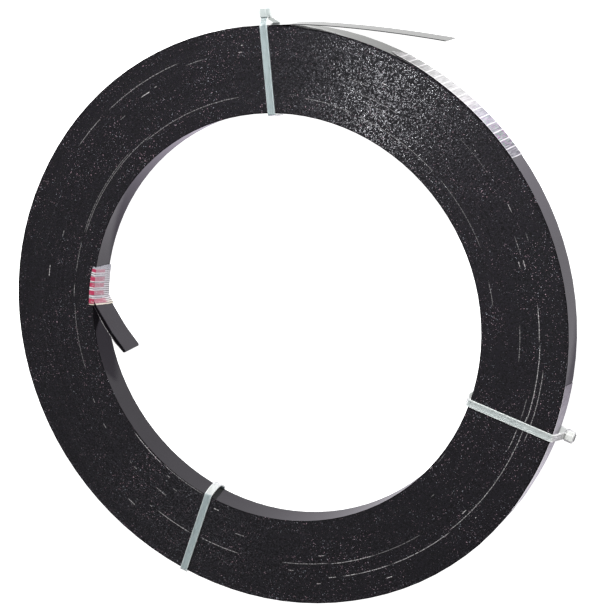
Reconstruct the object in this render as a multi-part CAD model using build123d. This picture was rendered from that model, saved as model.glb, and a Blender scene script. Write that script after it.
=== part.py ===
"""Steel strapping coil: one strap wound into a flat roll, held by three cable ties.

The roll lies flat. Z is the roll's axis and points up, the floor is at Z 0, and Y points at the top tie.
Everything is in millimetres.
"""
import os
from math import cos, hypot, radians, sin

from build123d import *

# The strap and the roll that it is wound into
strap_width = 32.0
strap_thickness = 0.8
bore_radius = 203.0
core_inner_radius = 204.6      # the first two turns stand flush, and the label grips them
core_outer_radius = 285.9      # the last two turns stand flush as well
stagger = 1.0                  # how far the turns slip out of line with each other
rim_radius = 288.1             # the outermost turn, which is a little off centre
rim_offset = 1.1
rim_offset_angle = 285.0

# Groups of turns that slipped together, from the bore outwards: outer radius, and slip below the highest turn
turn_groups = [
    (210.2, 0.35), (217.5, 0.10), (224.8, 0.75), (232.0, 0.45), (239.4, 0.95), (246.8, 0.25),
    (254.2, 0.85), (261.9, 0.05), (270.6, 0.65), (278.4, 1.00), (core_outer_radius, 0.20),
]

# The ties
tie_width = 7.6
tie_thickness = 1.5
tie_head_width = 9.3
tie_head_length = 10.5
tie_head_height = 8.0

# The tapes
tape_thickness = 0.3

# Heights above the floor. The roll rests on the three ties that pass under it.
roll_bottom = tie_thickness
roll_top = roll_bottom + strap_width + stagger
middle_height = (roll_bottom + roll_top) / 2
strap_bottom = roll_bottom + stagger / 2
strap_top = strap_bottom + strap_width

rim_centre = (rim_offset * cos(radians(rim_offset_angle)), rim_offset * sin(radians(rim_offset_angle)))


def polar(radius, angle, centre=(0.0, 0.0)):
    """A point at a radius and an angle, anticlockwise from X."""
    return (centre[0] + radius * cos(radians(angle)), centre[1] + radius * sin(radians(angle)))


def arc_band(inner_radius, outer_radius, start, end, centre=(0.0, 0.0)):
    """A strip between two radii and two angles, as a face."""
    middle = (start + end) / 2
    with BuildSketch() as strip:
        with BuildLine():
            ThreePointArc(*[polar(outer_radius, a, centre) for a in (start, middle, end)])
            Line(polar(outer_radius, end, centre), polar(inner_radius, end, centre))
            ThreePointArc(*[polar(inner_radius, a, centre) for a in (end, middle, start)])
            Line(polar(inner_radius, start, centre), polar(outer_radius, start, centre))
        make_face()
    return strip.sketch


def raised(sketch, bottom, top):
    """A flat outline made solid between two heights."""
    return Pos(0, 0, bottom) * extrude(sketch, amount=top - bottom)


def wound_core():
    """The turns between the flush ones, turned about the axis, with their edges stepped at both ends.

    A group of turns slips as a whole, so a step up on one end is the same step down on the other.
    """
    upper, lower = [], []
    inner = core_inner_radius
    for outer, slip in turn_groups:
        upper += [(inner, roll_top - slip), (outer, roll_top - slip)]
        lower += [(inner, roll_top - slip - strap_width), (outer, roll_top - slip - strap_width)]
        inner = outer
    with BuildSketch(Plane.XZ) as section:
        with BuildLine():
            Polyline(*upper, *reversed(lower), close=True)
        make_face()
    return revolve(section.sketch, axis=Axis.Z)


def tail_outline():
    """The strap's outer end: it springs off the rim beside the top tie, bends over and sags to its end."""
    leaves, lifted, bent, end = (-3.0, 287.37), (16.0, 288.7), (30.0, 289.05), (164.1, 278.5)
    with BuildSketch() as outline:
        with BuildLine():
            lift = Line(leaves, lifted)
            bend = TangentArc(lifted, bent, tangent=lift % 1)
            sag = TangentArc(bent, end, tangent=bend % 1)
            add([Pos(0, -strap_thickness) * edge for edge in (lift, bend, sag)])
            for x, y in (leaves, end):
                Line((x, y), (x, y - strap_thickness))
        make_face()
    return outline.sketch


# The tongue's outline, from its root on the bore down its face, round the nose and back up, and the
# radius that rounds each corner between the first and the last
tongue_corners = [(-203.6, 4.5), (-182.6, -27.7), (-167.9, -45.55), (-170.2, -47.75),
                  (-180.6, -37.6), (-193.0, -20.3), (-204.3, 0.2)]
tongue_rounding = [80.0, 1.5, 1.5, 12.0, 40.0]
tongue_root = (-202.97, 3.54)  # where the face leaves the bore


def tongue_outline():
    """The strap's inner end, folded back on itself: a flat loop of strap with a sharp nose and a slim eye."""
    with BuildSketch() as outline:
        with BuildLine():
            FilletPolyline(*tongue_corners, radius=tongue_rounding)
            Line(tongue_corners[-1], tongue_corners[0])
        make_face()
        offset(amount=-strap_thickness, kind=Kind.INTERSECTION, mode=Mode.SUBTRACT)
    return outline.sketch


def steel_strap():
    """Roll, tail and tongue, fused into the one strap that they are."""
    inner_turns = raised(Circle(core_inner_radius) - Circle(bore_radius), strap_bottom, strap_top)
    rim = Pos(*rim_centre) * Circle(rim_radius) - Circle(core_outer_radius)
    outer_turns = raised(rim, strap_bottom, strap_top)
    tail = raised(tail_outline(), strap_bottom, strap_top)
    tongue = raised(tongue_outline(), strap_bottom, strap_top)
    return wound_core() + inner_turns + (outer_turns + tail) + tongue


def cable_tie(rim_angle, lean, grip, slack, rim_reach, head_reach, head_middle):
    """A nylon tie round the roll's section.

    Its band hugs both ends and bows off the bore wall by its slack. Past the rim its two legs rise to the
    head, or lie on the rim when the head is seated there. Grip and reaches are distances from the roll's
    axis to the inside of the band.
    """
    on_rim = polar(rim_radius, rim_angle)
    along = polar(1.0, rim_angle + lean)
    foot = (on_rim[0] - rim_radius * along[0], on_rim[1] - rim_radius * along[1], 0)
    across = Plane(origin=foot, x_dir=(along[0], along[1], 0), z_dir=(along[1], -along[0], 0))
    seated = head_reach - rim_reach < 1.0
    at_head = [] if seated else [(head_reach, head_middle + 2.6), (head_reach, head_middle - 2.6)]
    with BuildSketch() as inside:
        with BuildLine():
            ThreePointArc((grip, roll_bottom), (grip - slack, middle_height), (grip, roll_top))
            Polyline((grip, roll_top), (rim_reach, roll_top), *at_head, (rim_reach, roll_bottom),
                     (grip, roll_bottom))
        make_face()
    loop = offset(inside.sketch, amount=tie_thickness, kind=Kind.ARC) - inside.sketch
    band = extrude(across * loop, amount=tie_width / 2, both=True)
    head_low = head_reach if seated else head_reach + 0.2
    head_place = Pos(head_low + tie_head_height / 2, head_middle, 0)
    head = across * head_place * Box(tie_head_height, tie_head_length, tie_head_width)
    head = chamfer(head.edges().filter_by(lambda e: abs(e.length - tie_head_height) < 1e-3), 2.0)
    end_place = Pos(head_low + tie_head_height + 0.5, head_middle, 0)
    cut_end = across * end_place * Box(1.6, tie_thickness, tie_width)
    return band + head + cut_end


def inner_label():
    """Film tape on the bore that runs on down the tongue's face, its edge folded over the first turns."""
    step = (tongue_corners[1][0] - tongue_root[0], tongue_corners[1][1] - tongue_root[1])
    length = hypot(*step)
    ahead = (step[0] / length, step[1] / length)
    inward = (-ahead[1], ahead[0])
    film = tape_thickness
    gap = 0.04                     # a hair off the steel
    grip = bore_radius - gap
    upper_end, halfway, lower_end = 169.2, 174.1, 7.5

    def on_face(down, off):
        """A point so far down the tongue's face from its root, and so far off it."""
        return tuple(tongue_root[i] + down * ahead[i] + off * inward[i] for i in (0, 1))

    with BuildSketch() as outline:
        with BuildLine():
            root, crease = on_face(0, gap), on_face(0.15, gap + film)
            ThreePointArc(polar(grip, upper_end), polar(grip, halfway), root)
            Polyline(root, on_face(lower_end, gap), on_face(lower_end, gap + film), crease)
            ThreePointArc(crease, polar(grip - film, halfway), polar(grip - film, upper_end))
            Line(polar(grip - film, upper_end), polar(grip, upper_end))
        make_face()
    label = raised(outline.sketch, strap_bottom, roll_top)
    fold = raised(arc_band(grip - film, 207.6, upper_end, 180.1), roll_top - film, roll_top)
    return label + fold


def outer_tape(start, end):
    """Film tape laid on the outermost turn, as wide as the strap."""
    strip = arc_band(rim_radius, rim_radius + tape_thickness, start, end, rim_centre)
    return raised(strip, strap_bottom, strap_top)


parts = {
    "steel_strap": steel_strap(),
    "cable_tie_top": cable_tie(93.33, 2.2, 202.3, 1.6, 287.4, 294.4, roll_top - 7.5),
    "cable_tie_right": cable_tie(341.6, 0.2, 202.85, 4.8, 289.2, 296.3, roll_bottom + 6.5),
    "cable_tie_bottom": cable_tie(248.3, 2.7, 202.1, 6.0, 289.3, 289.3, roll_bottom + 7.0),
    "inner_label_tape": inner_label(),
    "outer_tape_upper": outer_tape(37.1, 67.1),
    "outer_tape_right": outer_tape(325.1, 352.1),
}

os.makedirs("parts", exist_ok=True)
for name, solid in parts.items():
    solid.label = name
    export_step(solid, f"parts/{name}.step")
    low, high = solid.bounding_box().min, solid.bounding_box().max
    print(f"{name}: {len(solid.solids())} solid, {solid.volume:.0f} cubic mm, from "
          f"({low.X:.1f}, {low.Y:.1f}, {low.Z:.1f}) to ({high.X:.1f}, {high.Y:.1f}, {high.Z:.1f})")
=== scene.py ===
"""Steel strapping coil on a pale floor: 104 turns of black lacquered strap, with its ties and its tapes."""
import math

import bpy
import numpy as np
from mathutils import Matrix


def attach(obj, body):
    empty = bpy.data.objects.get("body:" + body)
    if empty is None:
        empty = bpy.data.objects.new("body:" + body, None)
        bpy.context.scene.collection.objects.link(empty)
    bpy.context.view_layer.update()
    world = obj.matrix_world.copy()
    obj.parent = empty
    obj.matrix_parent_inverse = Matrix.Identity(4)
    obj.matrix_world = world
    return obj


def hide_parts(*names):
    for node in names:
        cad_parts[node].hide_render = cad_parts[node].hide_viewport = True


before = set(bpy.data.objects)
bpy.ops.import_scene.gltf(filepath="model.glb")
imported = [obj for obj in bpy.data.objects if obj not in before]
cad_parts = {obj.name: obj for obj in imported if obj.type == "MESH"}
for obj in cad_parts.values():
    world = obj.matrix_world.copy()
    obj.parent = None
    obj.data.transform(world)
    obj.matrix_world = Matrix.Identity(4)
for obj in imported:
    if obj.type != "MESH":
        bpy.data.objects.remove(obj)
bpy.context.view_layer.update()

MM = 0.001

# Sizes, in millimetres. They are the CAD part's own.
STRAP_WIDTH = 32.0
STRAP_THICKNESS = 0.8
ROLL_BOTTOM = 1.5
STAGGER = 1.0
ROLL_TOP = ROLL_BOTTOM + STRAP_WIDTH + STAGGER
MIDDLE = (ROLL_BOTTOM + ROLL_TOP) / 2
FLUSH_SLIP = STAGGER / 2
BORE_RADIUS = 203.0
RIM_RADIUS = 288.1
TIE_WIDTH = 7.6
TIE_THICKNESS = 1.5
TIE_CORNER = 0.4

# The winding: it starts on the bore at one angle, runs clockwise, and leaves the rim at the other
FIRST_TURN_ANGLE = 180.17
LAST_TURN_ANGLE = 92.6
FULL_TURNS = 104
STEPS_PER_TURN = 96
LAST_TURN_RADIUS = 288.3       # to the outside of the strap where it leaves the rim
RIM_OFFSET = 1.14              # how far the outer turns have crept out of centre
RIM_OFFSET_ANGLE = 294.0
# Where the outermost turns have sprung further out: angle and distance
RIM_BULGES = [
    (0, 0.0), (90, 0.0), (110, 0.4), (130, 0.7), (150, 0.4), (165, 0.8), (180, 1.1), (210, 0.75),
    (240, 0.0), (255, -0.1), (270, 0.35), (285, 0.4), (300, 1.1), (315, 1.4), (324, 0.8), (330, 0.1),
    (345, 0.0),
]
BULGE_DEPTH = 12               # the bulge fades inwards with this power of the radius' share

# The tongue's outline from its root down its face, round the nose and back up, and each corner's rounding
TONGUE_CORNERS = [(-203.6, 4.5), (-182.6, -27.7), (-167.9, -45.55), (-170.2, -47.75), (-180.6, -37.6),
                  (-193.0, -20.3), (-204.3, 0.2)]
TONGUE_ROUNDING = [0, 80.0, 1.5, 1.5, 12.0, 40.0, 0]
TONGUE_ROOT = (-202.97, 3.54)

# The tail: it lifts off the rim at a slope, is highest at this x and y, and sags by SAG * distance ** POWER
TAIL_LIFT_SLOPE = 0.045
TAIL_TOP = (25.0, 288.7)
TAIL_REACH = 139.2             # from its highest place to its end, along x
TAIL_SAG = 0.00241
TAIL_SAG_POWER = 1.7

# Groups of turns that slipped together: outer radius, and slip below the highest turn
TURN_GROUPS = [
    (204.6, 0.50), (210.2, 0.35), (217.5, 0.10), (224.8, 0.75), (232.0, 0.45), (239.4, 0.95), (246.8, 0.25),
    (254.2, 0.85), (261.9, 0.05), (270.6, 0.65), (278.4, 1.00), (285.9, 0.20), (300.0, 0.50),
]

GROUP_SLIP_SHARE = 0.45        # how much of its group's slip a turn keeps
SLIP_SCATTER = 0.05            # each turn's own slip, and its waves along the strap
SLIP_WAVES = (2100, 811, 333)  # their lengths, in degrees turned

# How worn the strap's corners are, from 0, sharp, to 1
TONGUE_WORN = 0.6
TAIL_WORN = 0.25
SHARP_FROM, SHARP_PAST = 283.5, 286.0   # between these radii the turns go from worn to as sharp as the tail

# How brightly the worn corners of the turns shine under the lamp: radius and share
CORNER_SHINE = [
    (203, 0.6), (206, 0.7), (216, 0.75), (219, 1.0), (222, 1.0), (224, 0.7), (233, 0.7), (235, 1.0),
    (237, 0.7), (240, 0.8), (241.5, 1.0), (243, 0.6), (245.5, 0.35), (247.5, 0.4), (249, 1.0), (251, 0.7),
    (259.5, 0.7), (261, 0.35), (262.5, 0.7), (269, 0.75), (271, 1.0), (273, 0.75), (278, 0.8), (280, 1.0),
    (282, 0.8), (284.5, 0.6), (285.8, 0.15), (289, 0.05),
]

# Stretches of a turn's edge that are rubbed bright: radius, start angle, end angle, strength
RUBBED_ARCS = [
    (260.2, 0, 8, 0.7), (241.3, 355, 364, 0.3), (254, 19, 23.4, 0.3), (265.2, 21, 23.4, 0.3),
    (261, 27.7, 30.3, 0.8), (260.5, 37, 47, 0.12), (219.2, 23, 43, 0.2), (218.7, 45, 69, 0.3),
    (220, 70, 76, 0.3), (220.7, 74, 84, 0.28), (222, 85, 88, 0.2), (216.5, 8, 15, 0.3), (234, 60, 70, 0.2),
    (240, 60, 74, 0.22), (249.5, 69, 75, 0.25), (269.5, 113, 132.6, 0.35), (269.5, 135, 143.4, 0.4),
    (264.2, 107, 112, 0.3), (221.2, 101, 130, 0.3), (222.4, 128, 161, 0.3), (224.2, 135, 161, 0.25),
    (224.5, 163, 172, 0.3), (225.2, 174.6, 178.5, 0.5), (224.7, 180, 198, 0.25), (250, 236.9, 246.6, 0.8),
    (249.5, 249, 259.5, 0.7), (205.5, 218.7, 231, 0.9), (204.7, 231, 246, 0.5), (263.5, 284.3, 288.3, 1.0),
    (263, 288, 296, 0.8), (262.7, 296, 312, 0.7), (261.2, 312, 341, 0.55), (260.5, 343, 360, 0.7),
    (248.7, 270, 282, 0.5), (249.2, 282, 293.4, 0.8), (249.2, 293, 306, 0.3), (266.2, 338.4, 354.6, 0.5),
    (255.5, 335, 341, 0.5), (255, 342.5, 348, 0.3), (206.2, 321.6, 325.8, 0.3),
]
# A painted highlight on the tongue's back layer, where its worn outer corner catches the light: start, end
# and fade along the strap, and strength
TONGUE_PAINTED_HIGHLIGHT = (68.0, 110.0, 6.0, 0.5)
# Short nicks that shine: radius, angle, length, strength
NICKS = [
    (255.2, 16.9, 9, 0.7), (250, 17.1, 6, 0.7), (258, 66.2, 4, 1.3), (250, 76.3, 2.5, 1.2),
    (263.2, 42.6, 2, 0.9), (269.7, 98.4, 2.5, 0.9), (263.2, 99, 4, 0.7), (259, 120.3, 3, 0.7),
    (258.2, 123.3, 11, 0.9), (254, 131, 7, 0.3), (246.2, 163, 6, 0.5), (254.2, 172.7, 12, 0.9),
    (228.2, 206, 5, 0.5), (231, 213, 6, 0.6), (230.7, 224.4, 3, 0.6), (230.7, 226.2, 4, 0.6),
    (230.5, 235.2, 12, 0.6), (262, 230.8, 10, 0.9), (250.5, 235, 4, 0.6), (211.5, 234.5, 4, 0.6),
    (218.5, 238, 5, 0.6), (213, 250.7, 6, 1.2), (229.2, 258.6, 10, 0.6), (255.5, 272.3, 6, 0.6),
    (268.7, 278.5, 5, 0.6), (240.2, 280.3, 7, 0.7), (263.5, 281.9, 8, 1.0), (274.5, 294.6, 7, 1.0),
    (268.7, 318.6, 2, 1.0), (257.5, 317.6, 6, 1.1), (225.2, 314.5, 5, 0.3), (204.5, 319.5, 4, 0.6),
    (261.2, 324, 8, 0.8), (260.5, 343.2, 6, 0.9),
]

# The ties' heads, as measured in the photograph, which makes them a little larger than the CAD part's
HEAD_WIDTH = 11.4
HEAD_LENGTH = 12.2
HEAD_HEIGHT = 8.7
HEAD_CUT = 3.0                 # off each corner of the outline
HEAD_ROUNDING = 0.8            # of its bottom and top edges
LEG_GAP = 5.2                  # between the two legs at the head
BEAD_FROM_MIDDLE = 2.6         # where the beads along the band begin
CHANNEL_DEPTH = 0.22           # how much lower the band is between them

# The black lacquer on the strap's broad faces, where it is clean and where it is smeared
LACQUER_DARK = (0.004, 0.0036, 0.0044)
LACQUER_SMEARED = (0.008, 0.0073, 0.0088)

# The room
ROOM_LIGHT = 0.5
FLOOR_GLOW = 2.8               # at its brightest, where only reflections see it
FLOOR_REACH = 5000.0
FLOOR_DROP = 0.02              # a hair under the ties


# The camera

def photo_camera():
    """The photograph's view: looking down on the roll, a little from its right, with a long lens."""
    right = (0.933864, 0.0, -0.357629)
    up = (-0.077155, 0.976451, -0.201472)
    back = (0.349208, 0.215741, 0.911872)
    place = (0.76112, 0.47221, 1.92078 + ROLL_TOP * MM)
    data = bpy.data.cameras.new("photo_camera")
    data.sensor_width = 36.0
    data.lens = 128.05
    data.clip_end = 20.0
    camera = bpy.data.objects.new("photo_camera", data)
    bpy.context.scene.collection.objects.link(camera)
    camera.matrix_world = Matrix([[right[i], up[i], back[i], place[i]] for i in range(3)] + [[0, 0, 0, 1]])
    bpy.context.scene.camera = camera


photo_camera()


# Surfaces

def polar(radius, degrees):
    """Points at a radius and an angle, as an array with x and y last."""
    radius, degrees = np.broadcast_arrays(np.asarray(radius, float), np.asarray(degrees, float))
    turned = np.radians(degrees)
    return np.stack([radius * np.cos(turned), radius * np.sin(turned)], axis=-1)


def smooth_step(x, low, high):
    """0 below low, 1 above high, and 3t^2 - 2t^3 between them."""
    t = np.clip((x - low) / (high - low), 0.0, 1.0)
    return t * t * (3.0 - 2.0 * t)


def wavy(x, seed, waves):
    """A sum of sines of x, with random phases and the given wavelengths, about -1 to 1."""
    phases = np.random.default_rng(seed).uniform(0, 2 * np.pi, len(waves))
    return sum(np.sin(2 * np.pi * x / wave + phase) for wave, phase in zip(waves, phases)) / len(waves)


def grid_mesh(name, grid, closed_across=True, closed_along=False, capped=True, bands=None, values=None,
              uv=None, sharp=35.0, hard_lines=()):
    """A mesh from a grid of points, in millimetres.

    grid[i, j] is step i along the path and point j of the section.
    Quad (i, j) joins steps i and i + 1 and section points j and j + 1, wound so that a section that runs
    anticlockwise round the path's direction faces outwards. bands gives each j, or each quad (i, j), its
    material, values each vertex's attributes, and uv each grid point's place in the piece's own pattern. The
    shading breaks where faces meet at more than the sharp angle, and along the section points in hard_lines.
    """
    steps, points = grid.shape[:2]
    i = np.arange(steps if closed_along else steps - 1)[:, None]
    j = np.arange(points if closed_across else points - 1)[None, :]
    i2, j2 = (i + 1) % steps, (j + 1) % points
    corners = [i * points + j, i * points + j2, i2 * points + j2, i2 * points + j]
    quads = np.stack(np.broadcast_arrays(*corners), axis=-1).reshape(-1, 4)
    loops = [quads.ravel()]
    totals = [np.full(len(quads), 4)]
    bands = np.zeros(j.shape[1]) if bands is None else bands
    material = np.broadcast_to(np.asarray(bands, int), (i.shape[0], j.shape[1]))
    materials = [material.ravel()]
    if capped and closed_across and not closed_along:
        loops += [np.arange(points)[::-1], (steps - 1) * points + np.arange(points)]
        totals += [np.array([points, points])]
        materials += [np.array([material[0, 0]] * 2)]
    loops, totals, materials = np.concatenate(loops), np.concatenate(totals), np.concatenate(materials)
    mesh = bpy.data.meshes.new(name)
    mesh.vertices.add(steps * points)
    mesh.vertices.foreach_set("co", (grid.reshape(-1, 3) * MM).astype(np.float32).ravel())
    mesh.loops.add(len(loops))
    mesh.loops.foreach_set("vertex_index", loops.astype(np.int32))
    mesh.polygons.add(len(totals))
    mesh.polygons.foreach_set("loop_start", (np.cumsum(totals) - totals).astype(np.int32))
    mesh.polygons.foreach_set("loop_total", totals.astype(np.int32))
    mesh.polygons.foreach_set("material_index", materials.astype(np.int32))
    mesh.update(calc_edges=True)
    mesh.validate()
    for key, value in (values or {}).items():
        layer = mesh.attributes.new(key, "FLOAT", "POINT")
        layer.data.foreach_set("value", np.broadcast_to(value, (steps, points)).astype(np.float32).ravel())
    if uv is not None:
        layer = mesh.uv_layers.new(name="pattern")
        layer.data.foreach_set("uv", uv.reshape(-1, 2)[loops].astype(np.float32).ravel())
    mesh.polygons.foreach_set("use_smooth", np.ones(len(totals), bool))
    mesh.set_sharp_from_angle(angle=math.radians(sharp))
    if hard_lines:
        ends = np.empty(2 * len(mesh.edges), np.int32)
        broken = np.empty(len(mesh.edges), bool)
        mesh.edges.foreach_get("vertices", ends)
        mesh.edges.foreach_get("use_edge_sharp", broken)
        line = ends.reshape(-1, 2) % points
        broken |= (line[:, 0] == line[:, 1]) & np.isin(line[:, 0], hard_lines)
        mesh.edges.foreach_set("use_edge_sharp", broken)
    piece = bpy.data.objects.new(name, mesh)
    bpy.context.scene.collection.objects.link(piece)
    return piece


def joined(name, pieces):
    """Several meshes made one object, which is one moulded or wound piece."""
    bpy.ops.object.select_all(action="DESELECT")
    for piece in pieces:
        piece.select_set(True)
    bpy.context.view_layer.objects.active = pieces[0]
    bpy.ops.object.join()
    pieces[0].name = name
    return pieces[0]


def path_normals(path):
    """Unit normals of a flat path, to the left of the way it runs: its tangent turned a quarter turn."""
    tangent = np.gradient(path, axis=0)
    tangent /= np.linalg.norm(tangent, axis=1, keepdims=True)
    return np.stack([-tangent[:, 1], tangent[:, 0]], axis=1)


def rounded_path(corners, radii, spacing, closed=False):
    """A flat path of straight runs with an arc at each corner.

    At a corner with radius r that turns the path by a, the arc starts and ends r * tan(a / 2) from the
    corner, and its points are the centre plus r at evenly spaced angles.
    """
    corners = np.asarray(corners, float)
    count = len(corners)
    pieces = [] if closed else [corners[:1]]
    for k in range(0 if closed else 1, count if closed else count - 1):
        before, here, after = corners[k - 1], corners[k], corners[(k + 1) % count]
        a = (here - before) / np.linalg.norm(here - before)
        b = (after - here) / np.linalg.norm(after - here)
        turn = math.atan2(a[0] * b[1] - a[1] * b[0], float(a @ b))
        setback = radii[k] * math.tan(abs(turn) / 2)
        side = math.copysign(1.0, turn)
        centre = here - a * setback + side * radii[k] * np.array([-a[1], a[0]])
        start = math.atan2(*(here - a * setback - centre)[::-1])
        angles = start + turn * np.linspace(0, 1, max(3, int(abs(turn) / math.radians(12)) + 2))
        pieces.append(centre + radii[k] * np.stack([np.cos(angles), np.sin(angles)], axis=1))
    if not closed:
        pieces.append(corners[-1:])
    path = np.concatenate(pieces)
    if closed:
        path = np.concatenate([path, path[:1]])
    length = np.concatenate([[0], np.cumsum(np.linalg.norm(np.diff(path, axis=0), axis=1))])
    extra = np.arange(spacing, length[-1], spacing)
    at = np.unique(np.round(np.concatenate([length, extra]), 3))
    at = at[np.concatenate([[True], np.diff(at) > 0.05])]
    path = np.stack([np.interp(at, length, path[:, 0]), np.interp(at, length, path[:, 1])], axis=1)
    return path[:-1] if closed else path


def shifted_corners(corners, distance, closed=False):
    """A path's corners moved to its left: each by distance / cos(half its turn) along its bisector."""
    corners = np.asarray(corners, float)
    runs = (np.roll(corners, -1, axis=0) - corners) if closed else np.diff(corners, axis=0)
    runs /= np.linalg.norm(runs, axis=1, keepdims=True)
    left = np.stack([-runs[:, 1], runs[:, 0]], axis=1)
    if closed:
        before, after = np.roll(left, 1, axis=0), left
    else:
        before, after = np.concatenate([left[:1], left]), np.concatenate([left, left[-1:]])
    bisector = before + after
    return corners + distance * bisector * 2 / np.sum(bisector * bisector, axis=1, keepdims=True)


def rounded_box_section(width, height, corner, steps, kept=()):
    """A rectangle's outline with round corners, anticlockwise.

    A corner's points are its centre plus corner * (cos a, sin a). Each place in kept adds a point on both
    long sides, so far from the middle.
    """
    a = np.radians(np.linspace(0, 90, steps))
    row = np.array(sorted([-x for x in kept] + list(kept)))
    outline = []
    for k, (sx, sy) in enumerate(((1, 1), (-1, 1), (-1, -1), (1, -1))):
        turned = a + k * np.pi / 2
        outline.append(np.stack([sx * (width / 2 - corner) + corner * np.cos(turned),
                                 sy * (height / 2 - corner) + corner * np.sin(turned)], axis=1))
        if k in (0, 2) and len(row):
            outline.append(np.stack([-sy * row, np.full(len(row), sy * height / 2)], axis=1))
    return np.concatenate(outline)


# Materials

class Finish:
    """A node material under construction, with short calls for the nodes that it uses."""

    def __init__(self, name, **settings):
        self.material = bpy.data.materials.new(name)
        self.material.use_nodes = True
        self.nodes = self.material.node_tree.nodes
        self.links = self.material.node_tree.links
        self.shader = self.nodes["Principled BSDF"]
        for socket, value in settings.items():
            self.shader.inputs[socket.replace("_", " ")].default_value = value

    def node(self, kind, inputs=None, **settings):
        made = self.nodes.new("ShaderNode" + kind)
        for key, value in settings.items():
            setattr(made, key, value)
        for key, value in (inputs or {}).items():
            self.feed(made.inputs[key], value)
        return made

    def feed(self, socket, value):
        if isinstance(value, bpy.types.NodeSocket):
            self.links.new(value, socket)
        else:
            socket.default_value = value

    def object_place(self):
        return self.node("TexCoord").outputs["Object"]

    def pattern_place(self):
        """The piece's own pattern: millimetres along it and across it, and the point that they make."""
        place = self.node("UVMap", uv_map="pattern").outputs[0]
        split = self.node("SeparateXYZ", {0: place})
        return split.outputs["X"], split.outputs["Y"], place

    def attribute(self, name):
        return self.node("Attribute", attribute_name=name).outputs["Fac"]

    def math(self, operation, a, b=0.0, c=0.0, clamp=False):
        return self.node("Math", {0: a, 1: b, 2: c}, operation=operation, use_clamp=clamp).outputs[0]

    def noise(self, place, scale, detail=2.0, roughness=0.5):
        inputs = {"Vector": place, "Scale": scale, "Detail": detail, "Roughness": roughness}
        return self.node("TexNoise", inputs).outputs["Fac"]

    def point(self, x, y, x_scale=1.0, y_scale=1.0):
        """A point for a pattern, from two values at a scale each."""
        return self.node("CombineXYZ", {"X": self.math("MULTIPLY", x, x_scale),
                                        "Y": self.math("MULTIPLY", y, y_scale)}).outputs[0]

    def ramp(self, value, *stops, low=0.0, high=1.0):
        """A colour ramp with stops of (value, colour or grey), for values between low and high."""
        if (low, high) != (0.0, 1.0):
            value = self.math("DIVIDE", self.math("SUBTRACT", value, low), high - low)
        made = self.node("ValToRGB", {"Fac": value})
        elements = made.color_ramp.elements
        while len(elements) < len(stops):
            elements.new(0.5)
        for element, (position, colour) in zip(elements, stops):
            element.position = (position - low) / (high - low)
            element.color = (*colour, 1.0) if isinstance(colour, tuple) else (colour, colour, colour, 1.0)
        return made.outputs["Color"]

    def mix(self, amount, a, b):
        made = self.node("Mix", data_type="RGBA")
        for key, value in ((0, amount), (6, a), (7, b)):
            self.feed(made.inputs[key], (*value, 1.0) if isinstance(value, tuple) else value)
        return made.outputs[2]

    def bump(self, height, strength, distance, sockets=("Normal",)):
        made = self.node("Bump", {"Height": height, "Strength": strength, "Distance": distance})
        for socket in sockets:
            self.links.new(made.outputs["Normal"], self.shader.inputs[socket])

    def paint(self, socket, value):
        self.links.new(value, self.shader.inputs[socket])


def lacquered_face(name, dark, smeared, **gloss):
    """Smooth black lacquer on one of the strap's faces, with faint lengthwise streaks and soft smears."""
    finish = Finish(name, **gloss)
    along, across = finish.attribute("along"), finish.attribute("across")
    streaks = finish.noise(finish.point(along, across, 6.0, 900.0), 1.0, 3.0, 0.6)
    smears = finish.noise(finish.point(along, across, 25.0, 60.0), 1.0, 2.0)
    finish.paint("Base Color", finish.mix(smears, dark, smeared))
    finish.paint("Roughness", finish.math("ADD", finish.math("MULTIPLY", streaks, 0.12), 0.06))
    finish.bump(streaks, 0.05, 0.0002, ("Normal", "Coat Normal"))
    return finish.material


def lacquered_edge(name, base_dark, base_light, **gloss):
    """The strap's slit edges: grainy lacquer with patches of tinted flecks, which are painted glints, rubbed
    bright in places, and with a painted highlight along the tongue's back layer.

    It is smoothest where shine is 1, and roughest in the hollows between the grains.
    """
    finish = Finish(name, Specular_Tint=(0.95, 0.95, 1.0, 1.0), **gloss)
    along, across = finish.attribute("along"), finish.attribute("across")
    place = finish.object_place()
    grain = finish.noise(place, 580.0, 1.0, 0.5)
    # Tinted flecks gathered in patches: painted glints
    glint_fleck = finish.ramp(finish.noise(place, 1100.0, 0.0), (0.75, 0.0), (0.82, 1.0))
    patches = finish.ramp(finish.noise(place, 24.0, 3.0, 0.6), (0.40, 0.15), (0.62, 0.9))
    base = finish.mix(finish.ramp(grain, (0.40, 0.0), (0.62, 1.0)), base_dark, base_light)
    hues = finish.ramp(finish.noise(place, 300.0, 0.0), (0.40, 0.0), (0.60, 1.0))
    tint = finish.mix(hues, (0.28, 0.30, 0.34), (0.40, 0.27, 0.32))
    glint_flecked = finish.mix(finish.math("MULTIPLY", glint_fleck, patches), base, tint)
    scratches = finish.noise(finish.point(along, across, 520.0), 1.0, 3.0, 0.7)
    broken = finish.ramp(scratches, (0.42, 0.10), (0.58, 1.0))
    rubbed_and_glint = finish.math("MULTIPLY", finish.attribute("rubbed_and_glint"), broken, clamp=True)
    # Rubbed stretches in pale grey, and on the tongue's back layer a painted highlight in the same grey
    finish.paint("Base Color", finish.mix(rubbed_and_glint, glint_flecked, (0.50, 0.485, 0.485)))
    dull = finish.math("SUBTRACT", 1.0, finish.attribute("shine"), clamp=True)
    hollows = finish.ramp(grain, (0.48, 0.72), (0.56, 0.0))
    rough = finish.math("ADD", finish.math("MULTIPLY", dull, 0.24), hollows)
    finish.paint("Roughness", finish.math("ADD", rough, 0.13, clamp=True))
    finish.bump(finish.noise(place, 640.0, 1.0, 0.5), 1.0, 0.00034)
    return finish.material


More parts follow.
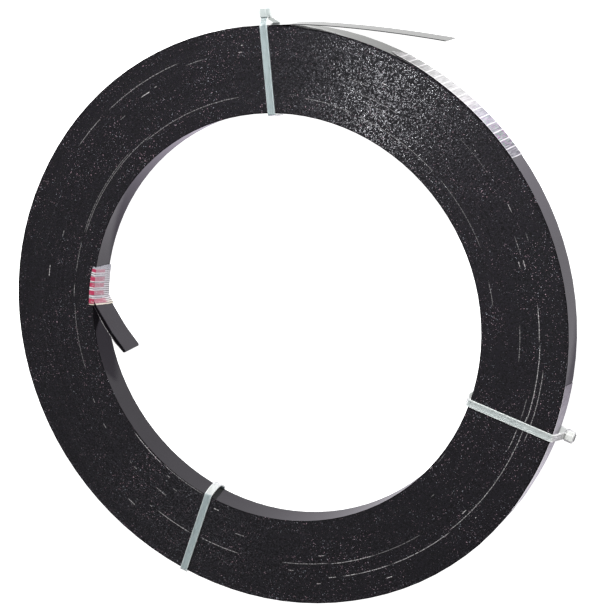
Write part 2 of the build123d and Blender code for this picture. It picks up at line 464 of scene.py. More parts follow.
def tie_nylon():
    """Translucent white nylon: greyer where a thin band lies on the black steel, milky where it is thick.

    Where lit_through is above 0, a faint glow stands for the light that comes through a free stretch.
    """
    finish = Finish("white_nylon", Roughness=0.32, Subsurface_Weight=1.0, Subsurface_Scale=0.0035,
                    Subsurface_Radius=(1.0, 1.0, 1.0), Emission_Color=(0.96, 1.0, 0.97, 1.0))
    place = finish.object_place()
    clouds = finish.noise(place, 120.0, 2.0)
    milky = finish.mix(clouds, (0.42, 0.425, 0.41), (0.48, 0.485, 0.47))
    thin = finish.mix(clouds, (0.17, 0.205, 0.21), (0.22, 0.26, 0.265))
    finish.paint("Base Color", finish.mix(finish.attribute("thin"), milky, thin))
    finish.paint("Emission Strength", finish.math("MULTIPLY", finish.attribute("lit_through"), 0.5))
    finish.bump(finish.noise(place, 500.0, 2.0), 0.08, 0.0003)
    return finish.material


def label_film():
    """White film with five plain blocks of red rules, and even grey rules towards its far edge.

    Its upper end is torn and grey, its lower end is yellowed, and the red is deeper on the fold.
    """
    finish = Finish("printed_label_film", Roughness=0.3, Coat_Weight=0.15, Coat_Roughness=0.1)
    along, height, place = finish.pattern_place()
    blots = finish.noise(finish.point(along, height, 0.35, 0.16), 1.0, 3.0, 0.7)
    waver = finish.math("ADD", along, finish.math("MULTIPLY", blots, 0.8))
    stops = [(0.0, 0.0)]
    for middle, width in ((3.5, 3.4), (12.2, 4.6), (18.7, 4.4), (26.5, 4.6), (35.0, 5.2)):
        stops += [(middle - width / 2 - 0.15, 0.0), (middle - width / 2 + 0.15, 1.0),
                  (middle + width / 2 - 0.15, 1.0), (middle + width / 2 + 0.15, 0.0)]
    block = finish.ramp(waver, *stops, low=0.0, high=48.0)
    ragged = finish.math("ADD", height, finish.math("MULTIPLY", blots, 8.0))
    near = finish.ramp(ragged, (14.0, 0.0), (18.0, 1.0), low=0.0, high=48.0)
    thin_cell = finish.math("FRACT", finish.math("DIVIDE", waver, 1.35))
    thin_rule = finish.ramp(thin_cell, (0.0, 1.0), (0.30, 1.0), (0.42, 0.0))
    wide_cell = finish.math("FRACT", finish.math("DIVIDE", waver, 2.2))
    wide_rule = finish.ramp(wide_cell, (0.0, 1.0), (0.34, 1.0), (0.48, 0.0))
    gaps = finish.ramp(blots, (0.36, 0.5), (0.44, 1.0))
    red = finish.mix(finish.math("MULTIPLY", thin_rule, 0.75), (0.27, 0.05, 0.085), (0.11, 0.01, 0.025))
    folded = finish.ramp(height, (33.6, 0.0), (34.4, 1.0), low=0.0, high=40.0)
    red = finish.mix(folded, red, (0.23, 0.012, 0.045))
    yellowed = finish.ramp(along, (33.0, 0.0), (38.0, 1.0), low=0.0, high=48.0)
    paper = finish.mix(yellowed, (0.37, 0.36, 0.37), (0.42, 0.38, 0.30))
    grey_ink = finish.math("MULTIPLY", finish.math("MULTIPLY", wide_rule, gaps), 0.95)
    ruled = finish.mix(grey_ink, paper, (0.03, 0.028, 0.032))
    red_ink = finish.math("MULTIPLY", finish.math("MULTIPLY", block, near), gaps)
    inked = finish.mix(red_ink, ruled, red)
    torn = finish.ramp(waver, (1.2, 1.0), (2.2, 0.0), low=-5.0, high=48.0)
    strokes = finish.ramp(finish.noise(place, 0.9, 2.0, 0.7), (0.50, 0.0), (0.58, 1.0))
    shred = finish.mix(strokes, (0.24, 0.25, 0.27), (0.04, 0.04, 0.05))
    finish.paint("Base Color", finish.mix(torn, inked, shred))
    finish.bump(blots, 0.15, 0.0004)
    return finish.material


def clear_film(name, pitch, first_line, line_shown, print_and_glare):
    """Glossy packing film with creases, painted highlights and painted shade along the creases, and a painted
    highlight along its near edge where it curls.

    print_and_glare gives its brightness along the strap, which is the film's pale print with painted glare
    and reflection, and a thin pale line crosses it at every pitch. Where it is tinted, each cell between two
    lines has its own mix of green and pink mottle.
    """
    finish = Finish(name, Specular_IOR_Level=0.0, Coat_Weight=0.18, Coat_Roughness=0.06)
    along, from_edge, place = finish.pattern_place()
    creases = finish.noise(finish.point(along, from_edge, 0.7, 0.05), 1.0, 3.0, 0.6)
    mottle = finish.noise(finish.point(along, from_edge, 0.55, 0.12), 1.0, 2.0, 0.7)
    # The film's brightness along the strap: its pale print, with painted glare and reflection
    body = finish.ramp(along, *print_and_glare, low=0.0, high=print_and_glare[-1][0])
    cells = finish.math("DIVIDE", finish.math("SUBTRACT", along, first_line), pitch)
    own_cell = finish.math("FLOOR", cells)
    choice = finish.node("TexWhiteNoise", {"W": own_cell}, noise_dimensions="1D").outputs["Value"]
    greens = finish.mix(choice, (0.32, 0.80, 0.45), (0.86, 0.48, 0.86))
    pinks = finish.mix(choice, (0.88, 0.40, 0.82), (0.42, 0.86, 0.56))
    tint = finish.mix(finish.ramp(mottle, (0.42, 0.0), (0.58, 1.0)), greens, pinks)
    tinted = finish.node("Mix", {0: finish.attribute("tinted"), 6: body, 7: tint},
                         data_type="RGBA", blend_type="MULTIPLY").outputs[2]
    # Painted highlights along the creases' ridges, and painted shade in their hollows
    crease_highlights = finish.mix(finish.ramp(creases, (0.45, 0.0), (0.75, 0.45)), tinted, (0.45, 0.44, 0.46))
    shaded = finish.mix(finish.ramp(creases, (0.28, 0.5), (0.42, 0.0)), crease_highlights, (0.07, 0.065, 0.075))
    in_cell = finish.math("FRACT", cells)
    line = finish.math("MULTIPLY", finish.ramp(in_cell, (0.0, 1.0), (0.09, 1.0), (0.13, 0.0)), line_shown)
    lined = finish.mix(line, shaded, (0.46, 0.45, 0.46))
    # A painted highlight along the near edge, as strong as the film is curled there
    at_edge = finish.ramp(from_edge, (0.9, 1.0), (1.5, 0.0), low=0.0, high=34.0)
    edge_highlight = finish.math("MULTIPLY", at_edge, finish.attribute("curl_highlight"))
    finish.paint("Base Color", finish.mix(edge_highlight, lined, (0.55, 0.54, 0.55)))
    finish.bump(creases, 0.25, 0.0006)
    return finish.material


def pale_floor():
    """A plain white floor, lit from below like a light table.

    The camera sees it evenly bright. Reflections see it violet and dimmer near the roll's middle, and white
    and brightest beyond the top of the roll.
    """
    finish = Finish("pale_floor", Roughness=0.85, Specular_IOR_Level=0.1)
    place = finish.object_place()
    grain = finish.noise(place, 6.0, 3.0)
    finish.paint("Base Color", finish.mix(grain, (0.50, 0.50, 0.50), (0.54, 0.54, 0.54)))
    beyond = finish.node("SeparateXYZ", {0: place}).outputs["Y"]
    glow = finish.ramp(beyond, (-0.05, 0.21), (0.09, 0.27), (0.16, 0.45), (0.27, 1.0), low=-0.5, high=0.5)
    reflected = finish.math("MULTIPLY", glow, FLOOR_GLOW)
    seen = finish.node("LightPath").outputs["Is Camera Ray"]
    tint = finish.ramp(beyond, (0.16, (1.0, 0.90, 1.10)), (0.26, (1.0, 1.01, 0.99)), low=-0.5, high=0.5)
    finish.paint("Emission Color", finish.mix(seen, tint, (1.0, 1.0, 1.0)))
    finish.paint("Emission Strength", finish.mix(seen, reflected, (1.0, 1.0, 1.0)))
    return finish.material


# The strap

def slip_at(radius):
    """How far a turn at each radius has slipped below the highest one: its group's slip, eased over 3 mm, and
    drawn about halfway to the flush height."""
    edges = np.array([edge for edge, _ in TURN_GROUPS])
    slips = np.array([slip for _, slip in TURN_GROUPS])
    eased = slips[0] + sum((after - before) * smooth_step(radius, edge - 1.5, edge + 1.5)
                           for edge, before, after in zip(edges[:-1], slips[:-1], slips[1:]))
    return FLUSH_SLIP + GROUP_SLIP_SHARE * (eased - FLUSH_SLIP)


def bulge_at(angle):
    """How far the outermost turn has sprung out at an angle: the listed distances, joined by lines."""
    angles, bulges = np.array(RIM_BULGES).T
    return np.interp(np.asarray(angle) % 360, angles, bulges, period=360)


def strap_route():
    """The strap's centre line from its folded inner end to its free tail.

    With it come the slip, the shine and the wear at each point, the angle turned at each point of the roll,
    and the number of the point where the roll starts.

    The tongue comes first: down its face, round the nose, and back to the bore. Then the radius grows evenly
    with the angle turned, while the turns' centre creeps to one side, and the last turns bulge by the share
    of the way to the power BULGE_DEPTH. The tail leaves the last turn on a cubic with the ends' own slopes,
    and then sags by a power of the distance.
    """
    half = STRAP_THICKNESS / 2
    total = FULL_TURNS * 360 + FIRST_TURN_ANGLE - LAST_TURN_ANGLE
    turned = np.append(np.arange(0, total, 360 / STEPS_PER_TURN), total)
    inner, outer = BORE_RADIUS + half, LAST_TURN_RADIUS - half
    share = turned / total
    creep = RIM_OFFSET * share[:, None] * polar(1.0, RIM_OFFSET_ANGLE)
    angle = FIRST_TURN_ANGLE - turned
    spiral = polar(inner + (outer - inner) * share + bulge_at(angle) * share ** BULGE_DEPTH, angle) + creep
    corners = np.concatenate([shifted_corners(TONGUE_CORNERS, -half)[:-1], spiral[:2]])
    corners[0] = (-204.1, 4.6)
    tongue = rounded_path(corners, TONGUE_ROUNDING[:-1] + [2.5, 0], 4.0)
    leave, lift = spiral[-1], np.array(TAIL_TOP)
    u = np.linspace(0, 1, 13)[1:]
    run = lift[0] - leave[0]
    rise = ((2 * u ** 3 - 3 * u ** 2 + 1) * leave[1] + (u ** 3 - 2 * u ** 2 + u) * TAIL_LIFT_SLOPE * run
            + (3 * u ** 2 - 2 * u ** 3) * lift[1])
    x = np.linspace(0, TAIL_REACH, 40)[1:]
    sag = TAIL_SAG * x ** TAIL_SAG_POWER
    tail = np.concatenate([np.stack([leave[0] + run * u, rise], axis=1),
                           np.stack([lift[0] + x, lift[1] - sag], axis=1)])
    route = np.concatenate([tongue, spiral[2:], tail])
    radius = np.linalg.norm(spiral, axis=1)
    jitter = np.random.default_rng(7).normal(0, 1, (2, FULL_TURNS + 3))
    turns = np.arange(FULL_TURNS + 3) - 0.5
    own = np.interp(turned / 360, turns, jitter[0]) * SLIP_SCATTER
    slip = np.clip(slip_at(radius) + own + SLIP_SCATTER * wavy(turned, 3, SLIP_WAVES), 0.02, 0.98)
    shine = np.interp(radius, *np.array(CORNER_SHINE).T) + 0.12 * np.interp(turned / 360, turns, jitter[1])
    before, after = np.ones(len(tongue)), np.ones(len(tail))
    slip = np.concatenate([before * FLUSH_SLIP, slip[2:], after * FLUSH_SLIP])
    shine = np.concatenate([before * 0.4, shine[2:], after * 0.1])
    sharpened = smooth_step(radius[2:], SHARP_FROM, SHARP_PAST)
    worn = np.concatenate([before * TONGUE_WORN, 1.0 - (1.0 - TAIL_WORN) * sharpened, after * TAIL_WORN])
    first = len(tongue) - 1
    return route, slip, np.clip(shine, 0, 1), worn, turned[1:], first


def rubbed_and_glint_stretches(route, turned, first):
    """Extra steps on the straight chords where a rubbed stretch starts or ends, and how bright each step is.
    The tongue's painted highlight is one of them.

    A stretch at radius r and angle a lies on the turn whose own radius at that angle is nearest to r.
    Distances along the route are the sum of the chords.
    """
    length = np.concatenate([[0], np.cumsum(np.linalg.norm(np.diff(route, axis=0), axis=1))])
    in_roll = slice(first, first + len(turned))
    roll_radius = np.linalg.norm(route[in_roll], axis=1)
    arc_fade, nick_fade = 6.0, 0.6
    stretches = [(radius, max(start, end), min(start, end), strength, arc_fade)
                 for radius, start, end, strength in RUBBED_ARCS]
    for radius, angle, long, strength in NICKS:
        half = math.degrees(long / 2 / radius)
        stretches.append((radius, angle + half, angle - half, strength, nick_fade))
    steps, marks = [length], [TONGUE_PAINTED_HIGHLIGHT]
    for radius, start, end, strength, fade in stretches:
        phase = (FIRST_TURN_ANGLE - start) % 360
        turn = np.argmin(np.abs(np.interp(phase + 360 * np.arange(FULL_TURNS), turned, roll_radius) - radius))
        begin, finish = (np.interp(phase + 360 * turn + extra, turned, length[in_roll])
                         for extra in (0, start - end))
        steps.append(np.array([begin, begin + fade, finish - fade, finish]))
        marks.append((begin, finish, fade, strength))
    at = np.unique(np.round(np.concatenate(steps), 4))
    rubbed_and_glint = np.zeros(len(at))
    for begin, finish, fade, strength in marks:
        rubbed_and_glint = np.maximum(rubbed_and_glint, strength * np.clip(np.minimum(at - begin, finish - at) / fade, 0, 1))
    return length, at, rubbed_and_glint


def wound_strap(outer_face, edge, inner_face, tongue_face, tail_face, outermost_edge):
    """The whole strap: a slim section carried along the route.

    The section is a rectangle with a worn outer and a sharper inner corner at each edge. A vertex is the
    route's point, plus the section's thickness along the route's normal, plus the section's height on Z.
    The tongue and the tail have an outer face of their own, and the first and the last turn a blacker
    near edge.
    """
    route, slip, shine, worn, turned, first = strap_route()
    normal = path_normals(route)
    length, at, rubbed_and_glint = rubbed_and_glint_stretches(route, turned, first)
    old = np.stack([route[:, 0], route[:, 1], normal[:, 0], normal[:, 1], slip, shine, worn], axis=1)
    path = np.stack([np.interp(at, length, old[:, k]) for k in range(7)], axis=1)
    path[:, 2:4] /= np.linalg.norm(path[:, 2:4], axis=1, keepdims=True)
    half, high = STRAP_THICKNESS / 2, STRAP_WIDTH / 2
    worn_wide, worn_deep, sharp_wide, sharp_deep = 0.30, 0.20, 0.14, 0.08
    # the route runs clockwise, so its left is the outside of a turn
    section = np.array([(half, -high), (half, high), (half, high), (-half + sharp_wide, high),
                        (-half, high - sharp_deep), (-half, -high + sharp_deep), (-half + sharp_wide, -high),
                        (half, -high)])
    drawn_in = np.array([(0, worn_deep), (0, -worn_deep), (-worn_wide, 0), (0, 0), (0, 0), (0, 0), (0, 0),
                         (-worn_wide, 0)])
    drawn = path[:, 6, None, None] * drawn_in[None]
    drawn[..., 1] = np.maximum(path[:, 6], 1.0)[:, None] * drawn_in[:, 1]
    sections = section[None] + drawn
    grid = np.empty((len(path), len(section), 3))
    grid[..., :2] = path[:, None, :2] + sections[..., :1] * path[:, None, 2:4]
    grid[..., 2] = ROLL_TOP - path[:, None, 4] - high + sections[..., 1]
    top_edge = np.array([0, 0, 1, 1, 0, 0, 0, 0])
    # the materials, in the order in which they are added below
    on_outer, on_edge, on_inner, on_tongue, on_tail, on_outermost = range(6)
    bands = np.tile([on_outer] + [on_edge] * 3 + [on_inner] + [on_edge] * 3, (len(path) - 1, 1))
    step = at[:-1]
    last = first + len(turned)
    bands[step < length[first - 1], 0] = on_tongue
    bands[step > length[last + 6], 0] = on_tail
    first_turn = (step > length[first]) & (step < length[first + STEPS_PER_TURN])
    bands[first_turn | (step > length[last - STEPS_PER_TURN]), 1:4] = on_outermost
    piece = grid_mesh("wound_strap", grid, bands=bands, sharp=45.0, hard_lines=(0, 1, 4, 5), values={
        "along": at[:, None] * MM, "across": section[None, :, 1] * MM, "rubbed_and_glint": rubbed_and_glint[:, None] * top_edge,
        "shine": path[:, 5:6]})
    for material in (outer_face, edge, inner_face, tongue_face, tail_face, outermost_edge):
        piece.data.materials.append(material)
    return piece


# The ties

def tie_frame(rim_angle, lean):
    """The tie's own plane: where its radial line starts, the way it runs, and the way across the band."""
    along = polar(1.0, rim_angle + lean)
    foot = polar(RIM_RADIUS, rim_angle) - RIM_RADIUS * along
    return foot, along, np.array([along[1], -along[0]])


def placed(frame_of_tie, reach, height, sideways):
    """Points given in a tie's own plane: foot + reach along it, sideways across it, and the height on Z."""
    foot, along, across = frame_of_tie
    reach, height, sideways = np.broadcast_arrays(reach, height, sideways)
    flat = foot + reach[..., None] * along + sideways[..., None] * across
    return np.concatenate([flat, height[..., None]], axis=-1)


def solid_nylon(murk):
    """The attributes of a thick stretch: how grey it is, and no light through it."""
    return {"thin": np.full((1, 1), murk), "lit_through": np.zeros((1, 1))}


def cable_tie(name, rim_angle, lean, grip, slack, rim_reach, head_reach, head_middle, murk, clear, nylon):
    """One moulded tie: its band carried round the loop, the head, its collar and the cut end.

    murk is how grey the head and the legs beside it are, and clear how much of the steel shows through the
    band, from 0 to 1 or a little more. The loop's inside is a polygon whose bore side bows by
    slack * (1 - h^2), with h from -1 to 1 over the roll's height. The band's vertex is the loop's middle
    line, plus the section's thickness along the loop's normal, plus the section's width across the tie.
    The section has a raised bead along each side of its outer face.
    """
    place = tie_frame(rim_angle, lean)
    seated = head_reach - rim_reach < 1.0
    h = np.linspace(1, -1, 9)[1:-1]
    bowed = np.stack([grip - slack * (1 - h * h), MIDDLE + h * (ROLL_TOP - MIDDLE)], axis=1)
    legs = (head_middle - LEG_GAP / 2, head_middle + LEG_GAP / 2)
    at_head = [] if seated else [(head_reach, leg) for leg in legs]
    inside = np.concatenate([[(grip, ROLL_BOTTOM), (rim_reach, ROLL_BOTTOM), *at_head, (rim_reach, ROLL_TOP),
                              (grip, ROLL_TOP)], bowed])
    at_roll, at_rim, at_leg, in_bow = 1.6, 1.6 if seated else 2.4, 1.2, 18.0
    radii = [at_roll, at_rim] + [at_leg] * len(at_head) + [at_rim, at_roll] + [in_bow] * len(bowed)
    loop = rounded_path(shifted_corners(inside, -TIE_THICKNESS / 2, closed=True), radii, 2.5, closed=True)
    ahead, behind = np.roll(loop, -1, axis=0), np.roll(loop, 1, axis=0)
    tangent = (ahead - behind) / np.linalg.norm(ahead - behind, axis=1, keepdims=True)
    outward = np.stack([tangent[:, 1], -tangent[:, 0]], axis=1)
    section = rounded_box_section(TIE_WIDTH, TIE_THICKNESS, TIE_CORNER, 4, kept=(2.5, 2.9))
    channel = (np.abs(section[:, 0]) < BEAD_FROM_MIDDLE) & (section[:, 1] > 0)
    section[channel, 1] -= CHANNEL_DEPTH
    points = loop[:, None, :] + section[None, :, 1:] * outward[:, None, :]
    grid = placed(place, points[..., 0], points[..., 1], section[None, :, 0])
    # The band's sides get less of the steel's grey than its middle: a painted highlight along each side
    thin = np.where(np.abs(section[:, 0]) < 2.7, 1.0, 0.7)
    past_rim = smooth_step(loop[:, 0], rim_reach - 2.0, rim_reach + 1.0)
    in_bore = 1.0 - smooth_step(loop[:, 0], grip - 1.2, grip - 0.2)
    on_steel = 1.0 - (0.95 - murk) * past_rim - 0.70 * in_bore
    inward = (section[:, 1] < 0) * 1.0
    band = grid_mesh(name, grid, closed_along=True, sharp=50, values={
        "thin": on_steel[:, None] * thin[None, :] * clear,
        "lit_through": np.maximum(past_rim, 0.8 * in_bore)[:, None] * inward[None, :]})
    head_low = head_reach if seated else head_reach + 0.2
    collar_drop = 0.1 if seated else 1.2
    tie = joined(name, [band, tie_head(place, head_low, head_middle, murk),
                        tie_collar(place, head_low, head_middle, murk, collar_drop),
                        tie_cut_end(place, head_low + HEAD_HEIGHT - 0.1, head_middle, murk)])
    tie.data.materials.clear()
    tie.data.materials.append(nylon)
    return tie


def tie_head(place, low, height, murk):
    """The head: an eight-sided prism.

    Each ring is the outline drawn in towards its middle by a share, and the rings follow a quarter circle at
    the bottom and the top.
    """
    wide, long, cut = HEAD_WIDTH / 2, HEAD_LENGTH / 2, HEAD_CUT
    corners = [(wide, cut - long), (wide, long - cut), (wide - cut, long), (cut - wide, long),
               (-wide, long - cut), (-wide, cut - long), (cut - wide, -long), (wide - cut, -long)]
    outline = rounded_path(corners, [0.7] * 8, 3.0, closed=True)
    turn = np.radians(np.linspace(0, 90, 5))
    round_off = HEAD_ROUNDING
    rise = np.concatenate([round_off * (1.0 - np.cos(turn)),
                           HEAD_HEIGHT - round_off + round_off * np.sin(turn)])
    inset = round_off * np.concatenate([1.0 - np.sin(turn), 1.0 - np.cos(turn)])
    ring = (1.0 - inset[:, None, None] / wide) * outline[None]
    grid = placed(place, low + rise[:, None], height + ring[..., 1], -ring[..., 0])
    return grid_mesh("head", grid, values=solid_nylon(murk), sharp=40)


def tie_collar(place, low, height, murk, drop):
    """The collar under the head, where the band grows into it: a short neck that tapers down over its drop.

    Each ring is a rounded rectangle: its half width and half depth times the signed root of cos a and sin a.
    """
    around = np.radians(np.arange(0, 360, 15))
    rise = np.linspace(-drop, 1.0, 5)
    share = (rise + drop) / (1.0 + drop)
    wide = 3.7 + 0.9 * share
    deep = 2.8 + 1.5 * share
    sideways = wide[:, None] * np.sign(np.cos(around)) * np.abs(np.cos(around)) ** 0.5
    ahead = deep[:, None] * np.sign(np.sin(around)) * np.abs(np.sin(around)) ** 0.5
    grid = placed(place, low + rise[:, None], height + ahead, -sideways)
    return grid_mesh("collar", grid, values=solid_nylon(murk), sharp=60)


def tie_cut_end(place, low, height, murk):
    """The end of the band, snipped off just past the head: a flat bar whose top slopes a little."""
    section = rounded_box_section(TIE_WIDTH, TIE_THICKNESS, TIE_CORNER, 3)
    rise = np.array([-0.5, 0.9, 1.2])
    slope = np.array([0.0, 0.02, 0.02])
    draw = np.array([1.0, 1.0, 0.86])
    sideways = draw[:, None] * section[None, :, 0]
    ahead = draw[:, None] * section[None, :, 1]
    grid = placed(place, low + rise[:, None] + slope[:, None] * sideways, height + ahead, -sideways)
    return grid_mesh("cut_end", grid, values=solid_nylon(murk), sharp=40)


# The tapes and the label

def film(name, inner, outer, along, across, values=None):
    """A thin film between two surfaces given as matching grids: the outer one, its rims and the inner one.

    Its closed section runs along the outer grid's row and back along the inner grid's, so every row is one
    loop. along and across, in millimetres, are its own pattern's place.
    """
    grid = np.concatenate([outer, inner[:, ::-1]], axis=1)
    uv = np.stack(np.broadcast_arrays(along, across), axis=-1)
    both = {key: np.concatenate([value, value[:, ::-1]], axis=1) for key, value in (values or {}).items()}
    return grid_mesh(name, grid, uv=np.concatenate([uv, uv[:, ::-1]], axis=1), values=both, sharp=50)


def rim_at(angle):
    """The outermost turn's outer radius at an angle: the spiral's own, one turn or less before the tail."""
    turned_back = (angle - LAST_TURN_ANGLE) % 360
    turns = FULL_TURNS + (FIRST_TURN_ANGLE - LAST_TURN_ANGLE) / 360
    growth = (LAST_TURN_RADIUS - BORE_RADIUS - STRAP_THICKNESS) / turns
    creep = RIM_OFFSET * np.cos(np.radians(angle - RIM_OFFSET_ANGLE))
    return LAST_TURN_RADIUS + creep + bulge_at(angle) - growth * turned_back / 360


def outer_tape(name, start, end, near_edge, curl, material, seed, tinted_from):
    """Film on the rim: r is the outermost turn's radius plus the film, from one angle down to another.

    start and end are functions of the height across the strap, and near_edge and curl of the angle. Close to
    its near edge the film stands off by curl * exp(-distance / 1.2), and everywhere by a ripple of up to
    0.1 mm.
    """
    rows = np.concatenate([np.linspace(0, 0.84, 14), np.linspace(0.87, 1, 8)])
    u, v = np.meshgrid(np.linspace(0, 1, 110), rows, indexing="ij")
    low = ROLL_BOTTOM + FLUSH_SLIP + 0.15
    rough_angle = start(MIDDLE) * (1 - u) + end(MIDDLE) * u
    height = low + (near_edge(rough_angle) - low) * v
    angle = start(height) * (1 - u) + end(height) * u
    from_edge = near_edge(rough_angle) - height
    ripple = wavy(angle + height * 0.3, seed, (2.3, 5.1, 9.7))
    stand = 0.05 + 0.05 * ripple + curl(angle) * np.exp(-from_edge / 1.2)
    tall = height[..., None]
    inner_off, outer_off = 0.02, 0.2
    outer = np.concatenate([polar(rim_at(angle) + outer_off + stand, angle), tall], axis=-1)
    inner = np.concatenate([polar(rim_at(angle) + inner_off + 0.8 * stand, angle), tall], axis=-1)
    along = (start(MIDDLE) - angle) * math.radians(RIM_RADIUS)
    # curl_highlight is the strength of the painted highlight along the film's near edge
    values = {"curl_highlight": np.broadcast_to(np.minimum(curl(angle) * 2, 1), angle.shape),
              "tinted": smooth_step(along, tinted_from - 6, tinted_from + 6)}
    tape = film(name, inner, outer, np.maximum(along, 0.01), from_edge, values)
    tape.data.materials.append(material)
    return tape


def inner_label(material):
    """Film on the bore that runs on down the tongue's face, with its near edge folded over the first turns.

    Its route is an arc a hair inside the bore's flats and then the tongue's straight face. It stands off them
    by a sum of sines, and by more along its far edge. Its ends and its pattern lean, as it was stuck on
    askew. The fold rises from the bore, rounds over and lies out over the near face as far as its own torn
    outline.
    """
    first_angle, per_degree, lean = 169.2, math.radians(BORE_RADIUS), 5.7
    corners = np.array(TONGUE_CORNERS)
    ahead = (corners[1] - TONGUE_ROOT) / np.linalg.norm(corners[1] - TONGUE_ROOT)
    inward = np.array([-ahead[1], ahead[0]])
    root_angle = math.degrees(math.atan2(TONGUE_ROOT[1], TONGUE_ROOT[0]))
    u, v = np.meshgrid(np.linspace(0, 1, 90), np.linspace(0, 1, 41), indexing="ij")
    torn = 169.65 - 0.7 * v + 0.14 * wavy(v, 5, (0.5, 0.21, 0.09))
    arc = (root_angle - torn) * per_degree
    down = 9.8 - 4.8 * v + 0.25 * wavy(v, 6, (0.4, 0.17))
    run = u * (arc + down)
    stand = 0.12 * (1 + wavy(run + 9 * v, 8, (6.1, 11.7, 3.2))) + 1.3 * smooth_step(1 - v, 0.80, 1.0)
    stand = stand + 0.35 * np.exp(-((run - arc) / 1.5) ** 2)
    angle = torn + np.minimum(run, arc) / per_degree
    on_face = (run > arc)[..., None]
    face_point = np.array(TONGUE_ROOT) + (run - arc)[..., None] * ahead
    layers = []
    inner_off, outer_off = 0.20, 0.32
    for off in (inner_off, outer_off):
        bore_point = polar(BORE_RADIUS - off - stand, angle)
        layers.append(np.where(on_face, face_point + (off + stand)[..., None] * inward, bore_point))
    height = (ROLL_BOTTOM + FLUSH_SLIP + 0.1 + 32.05 * v)[..., None]
    inner, outer = (np.concatenate([layer, height], axis=-1) for layer in layers)
    along = (torn - first_angle) * per_degree + run
    label = film("label", inner, outer, np.maximum(along - lean * (1 - v), -4.0), height[..., 0])

    reach_at = [(169.1, 206.3), (170.0, 206.8), (172.0, 207.4), (174.7, 207.7), (176.6, 208.0),
                (179.8, 208.2)]
    fold_angle = np.linspace(169.0, 180.1, 70)
    edge_radius = np.interp(fold_angle, *np.array(reach_at).T) + 0.10 * wavy(fold_angle, 4, (1.7, 0.9, 0.5))
    bend, flat = np.radians(np.linspace(0, 90, 6)), np.linspace(0, 1, 7)[1:]
    fold_radius, fold_height, bend_lift, thickness = 202.72, 33.74, 0.62, 0.14
    sheets = []
    for rise in (0.0, thickness):
        lift = bend_lift + rise
        rounded = np.stack([fold_radius - rise + lift * (1 - np.cos(bend)),
                            fold_height + (lift + 0.02) * np.sin(bend)], axis=1)
        start_out = rounded[-1, 0]
        radius = np.concatenate([np.tile(rounded[:, 0], (len(fold_angle), 1)),
                                 start_out + (edge_radius[:, None] - start_out) * flat], axis=1)
        up = np.concatenate([rounded[:, 1], np.full(len(flat), rounded[-1, 1])])
        up = np.minimum(np.broadcast_to(up, radius.shape), ROLL_TOP - thickness + rise)
        sheets.append(np.concatenate([polar(radius, fold_angle[:, None]), up[..., None]], axis=-1))
    out = np.linalg.norm(sheets[0][..., :2], axis=-1) - 202.7
    fold = film("fold", sheets[0], sheets[1], (fold_angle[:, None] - first_angle) * per_degree, 34.0 + out)
    piece = joined("inner_label", [label, fold])
    piece.data.materials.clear()
    piece.data.materials.append(material)
    return piece


# Making the object

outer_face = lacquered_face("black_lacquer_outer_face", LACQUER_DARK, LACQUER_SMEARED,
                            Specular_IOR_Level=0.0, Coat_Weight=0.36, Coat_Roughness=0.08)
inner_face = lacquered_face("black_lacquer_inner_face", LACQUER_DARK, LACQUER_SMEARED,
                            Specular_IOR_Level=0.0, Coat_Weight=0.45, Coat_Roughness=0.1)
tongue_face = lacquered_face("black_lacquer_tongue_face", (0.006, 0.0055, 0.0066), (0.012, 0.011, 0.013),
                             Specular_IOR_Level=0.0, Coat_Weight=0.45, Coat_Roughness=0.08)
tail_face = lacquered_face("black_lacquer_tail_face", LACQUER_DARK, LACQUER_SMEARED,
                           Specular_IOR_Level=0.0, Coat_Weight=0.26, Coat_Roughness=0.08)
edge = lacquered_edge("black_lacquer_edge", (0.0015, 0.0013, 0.0018), (0.0075, 0.0067, 0.009),
                      Specular_IOR_Level=0.22)
outermost_edge = lacquered_edge("black_lacquer_outermost_edge", (0.001, 0.0009, 0.0012),
                                (0.003, 0.0027, 0.0034), Specular_IOR_Level=0.05)
strap = wound_strap(outer_face, edge, inner_face, tongue_face, tail_face, outermost_edge)
nylon = tie_nylon()
tie_top = cable_tie("tie_top", rim_angle=93.33, lean=2.2, grip=202.3, slack=1.6, rim_reach=287.4,
                    head_reach=294.4, head_middle=ROLL_TOP - 7.5, murk=0.65, clear=1.3, nylon=nylon)
tie_right = cable_tie("tie_right", rim_angle=341.6, lean=0.2, grip=202.85, slack=4.8, rim_reach=289.2,
                      head_reach=296.3, head_middle=ROLL_BOTTOM + 6.5, murk=0.1, clear=0.65, nylon=nylon)
tie_bottom = cable_tie("tie_bottom", rim_angle=248.3, lean=2.7, grip=202.1, slack=6.0, rim_reach=289.3,
                       head_reach=289.3, head_middle=ROLL_BOTTOM + 7.0, murk=0.25, clear=1.1, nylon=nylon)
label = inner_label(label_film())

# The tapes' brightness, which is their pale print with painted glare and reflection: distance along the strap
# and colour
upper_print_and_glare = [(0.0, (0.145, 0.14, 0.145)), (18.0, (0.145, 0.14, 0.145)), (20.0, (0.12, 0.12, 0.12)),
                (29.0, (0.13, 0.13, 0.13)), (33.0, (0.16, 0.16, 0.16)), (49.0, (0.19, 0.188, 0.19)),
                (76.0, (0.20, 0.198, 0.20)), (86.0, (0.22, 0.21, 0.22)), (95.0, (0.25, 0.24, 0.25)),
                (105.0, (0.26, 0.24, 0.27)), (125.0, (0.18, 0.17, 0.19)), (144.0, (0.11, 0.105, 0.115)),
                (156.0, (0.11, 0.105, 0.115))]
right_print_and_glare = [(0.0, (0.20, 0.185, 0.205)), (22.0, (0.27, 0.255, 0.28)), (43.0, (0.40, 0.385, 0.41)),
                (52.0, (0.30, 0.285, 0.31)), (60.0, (0.42, 0.405, 0.43)), (95.0, (0.66, 0.645, 0.67)),
                (136.0, (0.70, 0.685, 0.71))]
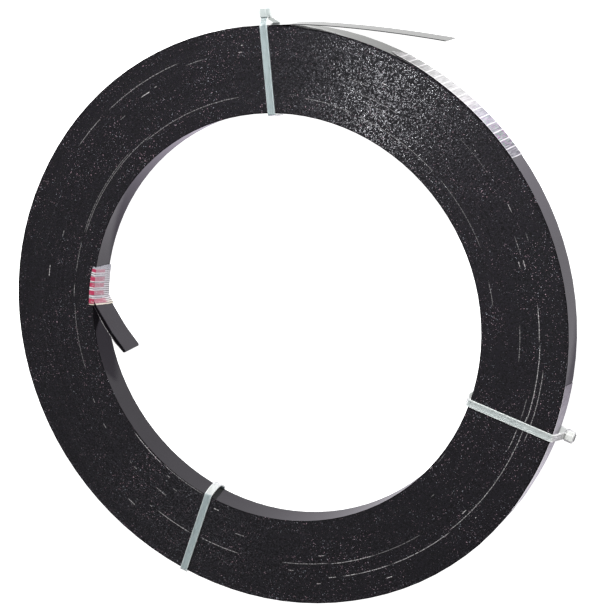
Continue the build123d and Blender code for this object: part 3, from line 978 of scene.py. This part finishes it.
upper_film = clear_film("clear_film_upper", pitch=9.62, first_line=8.6, line_shown=0.75, print_and_glare=upper_print_and_glare)
right_film = clear_film("clear_film_right", pitch=48.0, first_line=20.0, line_shown=0.12, print_and_glare=right_print_and_glare)
tape_upper = outer_tape(
    "film_tape_upper",
    start=lambda z: 66.2 + 1.5 * smooth_step(z, 2, 25) - 1.4 * smooth_step(z, 25, 30.5),
    end=lambda z: 36.6 + 0.3 * z / 34,
    near_edge=lambda a: 33.85 - 3.7 * smooth_step(a, 54, 66.5),
    curl=lambda a: 0.10 + 0.35 * smooth_step(a, 38, 58),
    material=upper_film, seed=21, tinted_from=92.0)
tape_right = outer_tape(
    "film_tape_right", start=lambda z: 351.2 + 0.85 * z / 34, end=lambda z: 325.0,
    near_edge=lambda a: 33.8, curl=lambda a: 0.12, material=right_film, seed=31, tinted_from=400.0)

for piece, node, finish_slot in (
        (strap, "steel_strap", "black_lacquered_steel"), (tie_top, "cable_tie_top", "white_nylon"),
        (tie_right, "cable_tie_right", "white_nylon"), (tie_bottom, "cable_tie_bottom", "white_nylon"),
        (label, "inner_label_tape", "printed_label_film"), (tape_upper, "outer_tape_upper", "clear_film"),
        (tape_right, "outer_tape_right", "clear_film")):
    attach(piece, "root")
    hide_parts(node)


# Floor and light

def floor_sheet():
    """A flat square sheet, ten metres wide, just under the ties."""
    reach = np.linspace(-FLOOR_REACH, FLOOR_REACH, 3)
    u, v = np.meshgrid(reach, reach, indexing="ij")
    grid = np.stack([u, v, np.full(u.shape, -FLOOR_DROP)], axis=-1)
    sheet = grid_mesh("floor", grid[:, ::-1], closed_across=False, capped=False)
    sheet.data.materials.append(pale_floor())


def soft_box(name, place, size, power):
    """An area lamp that faces the middle of the roll."""
    data = bpy.data.lights.new(name, "AREA")
    data.shape = "DISK"
    data.size = size
    data.energy = power
    lamp = bpy.data.objects.new(name, data)
    bpy.context.scene.collection.objects.link(lamp)
    back = np.array(place) / np.linalg.norm(place)
    side = np.cross((0, 0, 1), back)
    side /= np.linalg.norm(side)
    top = np.cross(back, side)
    lamp.matrix_world = Matrix([[side[i], top[i], back[i], place[i]] for i in range(3)] + [[0, 0, 0, 1]])


def studio():
    """A pale room with one lamp beyond the top of the roll, which lights the turns' edges in a fan."""
    world = bpy.data.worlds.new("pale_room")
    bpy.context.scene.world = world
    world.use_nodes = True
    light = world.node_tree.nodes["Background"].inputs
    light["Color"].default_value = (1.0, 1.0, 1.0, 1.0)
    light["Strength"].default_value = ROOM_LIGHT
    soft_box("edge_lamp", place=(0.11, 1.30, 1.50), size=0.26, power=84.0)


floor_sheet()
studio()
bpy.context.scene.view_settings.view_transform = "Standard"
